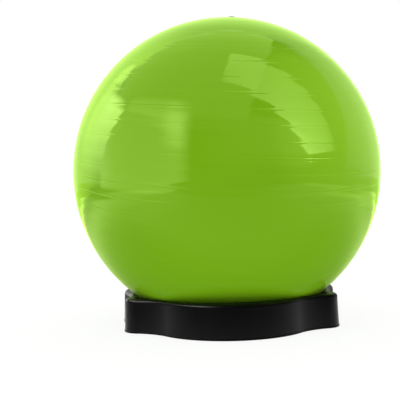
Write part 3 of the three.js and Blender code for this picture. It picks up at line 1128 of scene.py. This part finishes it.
@dataclass
class Studio:
    """The plain floor, the white surroundings and the sheets that reflections show."""

    ball: bpy.types.Object
    ring: bpy.types.Object
    floor_half: float = 12000.0
    floor_colour: str = "#FAFAF9"
    floor_shadow_share: float = 0.15
    bounce_shadow_share: float = 0.1
    floor_glow: float = 1.04
    mirrored_floor: float = 0.03
    ambient: float = 1.0
    room: float = 0.03
    backdrop: float = 0.5
    backdrop_slope: float = 1.88
    backdrop_edge: float = 0.02
    sheet_steps: int = 24
    sheets: tuple[Sheet, ...] = (
        Sheet("back_wall", ((-6000.0, 1500.0, 0.0), (1000.0, 1500.0, 0.0),
                            (1000.0, 1500.0, 3550.0), (-6000.0, 1500.0, 3550.0)),
              (2.6, 1.1, 1.4, 1.5), (0.6, 0.0, 0.0, 0.0), "#C0FF38"),
        Sheet("back_wall_glow", ((-2650.0, 1470.0, 500.0), (-490.0, 1470.0, 500.0),
                                 (-490.0, 1470.0, 3500.0), (-2650.0, 1470.0, 3500.0)),
              (1.0, 0.0, 0.0, 4.4), (0.4, 0.0, 0.2, 0.0), "#CCFF60"),
        Sheet("back_wall_end", ((1000.0, 1500.0, 0.0), (3000.0, 1500.0, 0.0),
                                (3000.0, 1500.0, 2600.0), (1000.0, 1500.0, 3550.0)),
              (1.2, 1.2, 1.6, 0.8), (0.0, 1.0, 0.0, 0.0), "#C0FF38"),
        Sheet("ceiling", ((-5000.0, -6500.0, 3550.0), (1300.0, -6500.0, 3550.0),
                          (1300.0, 1500.0, 3550.0), (-5000.0, 1500.0, 3550.0)),
              (2.3, 2.3, 2.3, 2.3), (0.1, 0.0, 0.45, 0.0)),
        Sheet("front_wall", ((-1400.0, -2500.0, 50.0), (4500.0, -2500.0, 50.0),
                             (4500.0, -2500.0, 2600.0), (-1400.0, -2500.0, 2600.0)),
              (0.6, 3.0, 3.0, 0.6), (0.25, 0.3, 0.35, 0.3)),
        Sheet("left_window", ((-1400.0, 1400.0, 180.0), (-1400.0, 105.0, 149.0),
                              (-1400.0, -162.0, 1311.0), (-1400.0, 1400.0, 1820.0)),
              (0.0, 0.0, 20.0, 5.0), (1.0, 0.0, 0.0, 0.16)),
        Sheet("window_wing", ((-1395.0, 1460.0, 1560.0), (-1395.0, 420.0, 1400.0),
                              (-1395.0, 1030.0, 2300.0), (-1395.0, 1460.0, 2300.0)),
              (0.5, 5.0, 2.2, 0.0), (0.4, 0.0, 0.25, 0.3)),
        Sheet("left_wall", ((-1050.0, 9.0, 185.0), (-1050.0, -2500.0, -362.0),
                            (-1050.0, -2250.0, 2600.0), (-1050.0, -233.0, 1280.0)),
              (5.4, 6.6, 7.2, 2.2), (0.0, 0.4, 0.06, 0.25)),
        Sheet("lit_strip", ((-1196.0, -1322.0, 558.0), (-630.0, -1691.0, 541.0),
                            (-573.0, -1078.0, 1617.0), (-1057.0, -667.0, 1555.0)),
              (7.4, 7.4, 5.0, 5.0), (0.5, 0.5, 0.4, 0.4)),
        Sheet("right_softbox", ((1406.0, -1079.0, 480.0), (1654.0, -464.0, 590.0),
                                (113.0, -272.0, 2020.0), (-54.0, -919.0, 1831.0)),
              (16.0, 2.2, 4.9, 3.5)),
        Sheet("right_wall", ((1300.0, -2600.0, -600.0), (1300.0, 1500.0, -600.0),
                             (1300.0, 1500.0, 3550.0), (1300.0, -2600.0, 3550.0)),
              (5.6, 5.6, 1.2, 1.2), (0.5, 0.5, 0.36, 0.0), "#CCFF60"),
        Sheet("left_floor", ((-1900.0, -1500.0, 8.0), (-200.0, -1500.0, 8.0),
                             (-200.0, 900.0, 8.0), (-1900.0, 900.0, 8.0)),
              (5.4, 2.6, 1.0, 4.4), (0.2, 0.55, 0.2, 0.4)),
        Sheet("right_floor", ((200.0, -1500.0, 8.0), (1900.0, -1500.0, 8.0),
                              (1900.0, 900.0, 8.0), (200.0, 900.0, 8.0)),
              (2.2, 4.0, 1.8, 0.8), (0.55, 0.2, 0.2, 0.4)),
        Sheet("front_floor", ((-900.0, -1300.0, 6.0), (900.0, -1300.0, 6.0),
                              (900.0, -230.0, 6.0), (-900.0, -230.0, 6.0)),
              (0.5, 0.3, 0.6, 2.0), (0.2, 0.2, 0.3, 0.25)),
        Sheet("bright_floor", ((-2500.0, -150.0, 4.0), (2500.0, -150.0, 4.0),
                               (2500.0, 2500.0, 4.0), (-2500.0, 2500.0, 4.0)),
              (0.4, 0.4, 1.6, 1.7), (0.0, 0.0, 0.16, 0.0)),
        Sheet("ring_left_wall", ((-1150.0, 600.0, 500.0), (-1150.0, -2080.0, 500.0),
                                 (-1150.0, -1800.0, 2150.0), (-1150.0, 600.0, 1800.0)),
              (2.0, 2.0, 32.0, 32.0), (0.2, 0.2, 0.3, 0.2), "#FFFFFF", for_ring=True),
        Sheet("ring_right_wall", ((1360.0, -2600.0, 0.0), (1360.0, 900.0, 0.0),
                                  (1360.0, 900.0, 900.0), (1360.0, -2600.0, 900.0)),
              (0.2, 0.2, 0.0, 0.0), (0.3, 0.2, 0.0, 0.0), "#FFFFFF", for_ring=True),
        Sheet("ring_floor", ((-1200.0, -700.0, 2.0), (1200.0, -700.0, 2.0),
                             (1200.0, 300.0, 2.0), (-1200.0, 300.0, 2.0)),
              (1.4, 1.4, 1.4, 1.4), (0.0, 0.0, 0.6, 0.0), "#FFFFFF", for_ring=True),
        Sheet("ring_back_wall", ((-3000.0, 1600.0, 0.0), (0.0, 1600.0, 0.0),
                                 (0.0, 1600.0, 1200.0), (-3000.0, 1600.0, 1200.0)),
              (4.0, 4.0, 4.0, 4.0), (0.2, 0.8, 0.0, 0.5), "#FFFFFF", for_ring=True),
    )

    def build_floor(self) -> None:
        """Makes the pale floor, which keeps a soft shadow."""
        material, tree = empty_material("painted_floor_white")
        paint = add_node(tree, "ShaderNodeBsdfDiffuse", {"Color": linear(self.floor_colour)})
        path = add_node(tree, "ShaderNodeLightPath")
        brightness = add_node(tree, "ShaderNodeMapRange", {
            "To Min": self.floor_glow, "To Max": self.mirrored_floor},
            {"Value": path.outputs["Is Glossy Ray"]})
        glow = add_node(tree, "ShaderNodeEmission", {}, {"Strength": brightness.outputs[0]})
        share = add_node(tree, "ShaderNodeMapRange", {
            "To Min": 1 - self.floor_shadow_share, "To Max": 1 - self.bounce_shadow_share},
            {"Value": path.outputs["Is Diffuse Ray"]})
        mixed = add_node(tree, "ShaderNodeMixShader", {}, {
            0: share.outputs[0], 1: paint.outputs[0], 2: glow.outputs[0]})
        add_node(tree, "ShaderNodeOutputMaterial", {}, {"Surface": mixed.outputs[0]})
        mesh = bmesh.new()
        bmesh.ops.create_grid(mesh, x_segments=1, y_segments=1, size=self.floor_half)
        floor = finished_object("studio_floor", mesh)
        floor.data.materials.append(material)
        floor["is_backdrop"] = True

    def build_world(self) -> None:
        """Makes the surroundings: white to the camera, and soft light on the object.

        Reflections see a pale backdrop behind the object up to its straight top edge, and a dark
        room above it and in front.
        """
        world = bpy.data.worlds.new("studio_surroundings")
        bpy.context.scene.world = world
        world.use_nodes = True
        tree = world.node_tree
        tree.nodes.clear()
        path = add_node(tree, "ShaderNodeLightPath")
        plain_white = {"Color": linear("#FFFFFF")}
        ambient = add_node(tree, "ShaderNodeBackground", {**plain_white, "Strength": self.ambient})
        white = add_node(tree, "ShaderNodeBackground", {**plain_white, "Strength": 1.0})
        sheet = add_node(tree, "ShaderNodeBackground", {**plain_white, "Strength": self.backdrop})
        room = add_node(tree, "ShaderNodeBackground", {**plain_white, "Strength": self.room})
        direction = add_node(tree, "ShaderNodeTexCoord").outputs["Generated"]
        below_edge = Vector((0, self.backdrop_slope, -1)).normalized()
        height = add_node(tree, "ShaderNodeVectorMath", {
            "operation": "DOT_PRODUCT", 1: below_edge}, {0: direction})
        edge = add_node(tree, "ShaderNodeMapRange", {
            "From Min": -self.backdrop_edge, "From Max": self.backdrop_edge},
            {"Value": height.outputs["Value"]})
        mirrored = add_node(tree, "ShaderNodeMixShader", {}, {
            0: edge.outputs[0], 1: room.outputs[0], 2: sheet.outputs[0]})
        plain = add_node(tree, "ShaderNodeMath", {"operation": "MAXIMUM"}, {
            0: path.outputs["Is Camera Ray"], 1: path.outputs["Is Transmission Ray"]})
        lit = add_node(tree, "ShaderNodeMixShader", {}, {
            0: path.outputs["Is Glossy Ray"], 1: ambient.outputs[0], 2: mirrored.outputs[0]})
        shown = add_node(tree, "ShaderNodeMixShader", {}, {
            0: plain.outputs[0], 1: lit.outputs[0], 2: white.outputs[0]})
        add_node(tree, "ShaderNodeOutputWorld", {}, {"Surface": shown.outputs[0]})

    @staticmethod
    def sheet_material(sheet: Sheet) -> bpy.types.Material:
        """A clear sheet that adds its glow to what lies behind it.

        Args:
            sheet: The sheet.

        Returns:
            Its material.
        """
        material, tree = empty_material(sheet.name)
        strength = add_node(tree, "ShaderNodeAttribute", {"attribute_name": "glow"})
        glow = add_node(tree, "ShaderNodeEmission", {"Color": linear(sheet.tint)},
                        {"Strength": strength.outputs["Fac"]})
        clear = add_node(tree, "ShaderNodeBsdfTransparent")
        both = add_node(tree, "ShaderNodeAddShader", {}, {0: glow.outputs[0], 1: clear.outputs[0]})
        add_node(tree, "ShaderNodeOutputMaterial", {}, {"Surface": both.outputs[0]})
        return material

    def build_sheet(self, sheet: Sheet, mirror: bpy.types.Collection) -> None:
        """Makes a sheet as a fine grid between its corners.

        Args:
            sheet: The sheet.
            mirror: The pieces that show it in their reflections.
        """
        mesh = bmesh.new()
        glow = mesh.verts.layers.float.new("glow")
        shares = [i / self.sheet_steps for i in range(self.sheet_steps + 1)]
        rows = []
        for up in shares:
            rows.append([mesh.verts.new(sheet.place(across, up)) for across in shares])
            for corner, across in zip(rows[-1], shares):
                corner[glow] = sheet.glow(across, up)
        for low, top in zip(rows, rows[1:]):
            for i in range(self.sheet_steps):
                mesh.faces.new((low[i], low[i + 1], top[i + 1], top[i]))
        made = finished_object(sheet.name, mesh)
        made.data.materials.append(self.sheet_material(sheet))
        made.visible_camera = False
        made.visible_diffuse = False
        made.visible_transmission = False
        made.visible_shadow = False
        made.light_linking.receiver_collection = mirror
        made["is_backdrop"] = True

    def build(self) -> None:
        """Makes everything round the object, and keeps the view plain."""
        self.build_floor()
        self.build_world()
        mirrors = {}
        for for_ring, piece in ((False, self.ball), (True, self.ring)):
            mirrors[for_ring] = bpy.data.collections.new(f"mirrored_in_{piece.name}")
            mirrors[for_ring].objects.link(piece)
        for sheet in self.sheets:
            self.build_sheet(sheet, mirrors[sheet.for_ring])
        bpy.context.scene.view_settings.view_transform = "Standard"


def main() -> None:
    """Builds the chair, its camera and its studio."""
    logging.basicConfig(level=logging.INFO, format="%(name)s: %(message)s")
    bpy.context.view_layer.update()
    Viewpoint().build()
    ball = InflatedBall()
    shell = ball.build()
    ring = RingMoulding(ball.centre_height).build()
    Studio(shell, ring).build()
    shown_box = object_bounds()
    low, high = (tuple(round(size / MM, 2) for size in corner) for corner in shown_box)
    log.info("shown box from %s to %s", low, high)


if __name__ == "__main__":
    main()
